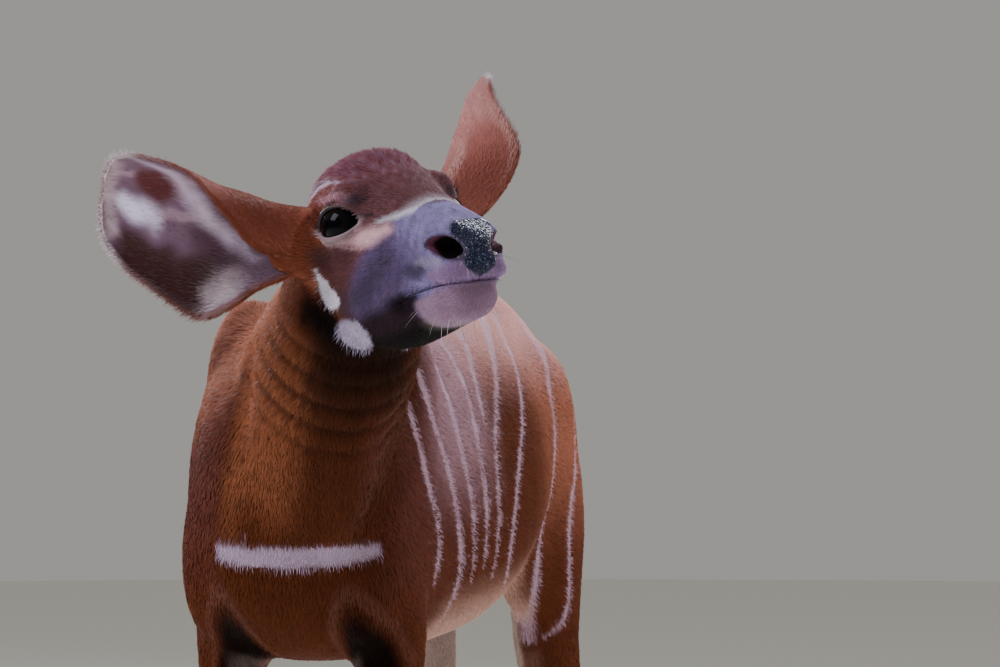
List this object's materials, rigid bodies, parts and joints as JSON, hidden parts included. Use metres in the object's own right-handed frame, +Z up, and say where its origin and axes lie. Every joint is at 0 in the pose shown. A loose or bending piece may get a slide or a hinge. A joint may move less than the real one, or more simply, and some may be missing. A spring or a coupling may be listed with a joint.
{
  "type": "bongo calf",
  "caption": "Life-size still model of a young bongo antelope, standing with its neck bent and its muzzle raised.",
  "frame": {"origin": "middle of the bounding box, at the level of the soles of the hooves", "axes": "+Z up, -Y the way the trunk faces, +X the animal's left side"},
  "size_m": [0.3666, 0.8428, 0.8792],
  "materials": {
    "body_coat": "matt",
    "head_coat": "matt",
    "ear_coat": "matt",
    "tail_coat": "matt",
    "hoof": "satin",
    "eye": "polished"
  },
  "bodies": {
    "root": {"head": "head_coat", "eye_left": "eye", "eye_right": "eye", "ear_left": "ear_coat", "ear_right": "ear_coat", "neck": "body_coat", "torso": "body_coat", "foreleg_left": "body_coat", "foreleg_right": "body_coat", "fore_hoof_left": "hoof", "fore_hoof_right": "hoof", "hindleg_left": "body_coat", "hindleg_right": "body_coat", "hind_hoof_left": "hoof", "hind_hoof_right": "hoof", "tail": "tail_coat"}
  },
  "joints": []
}
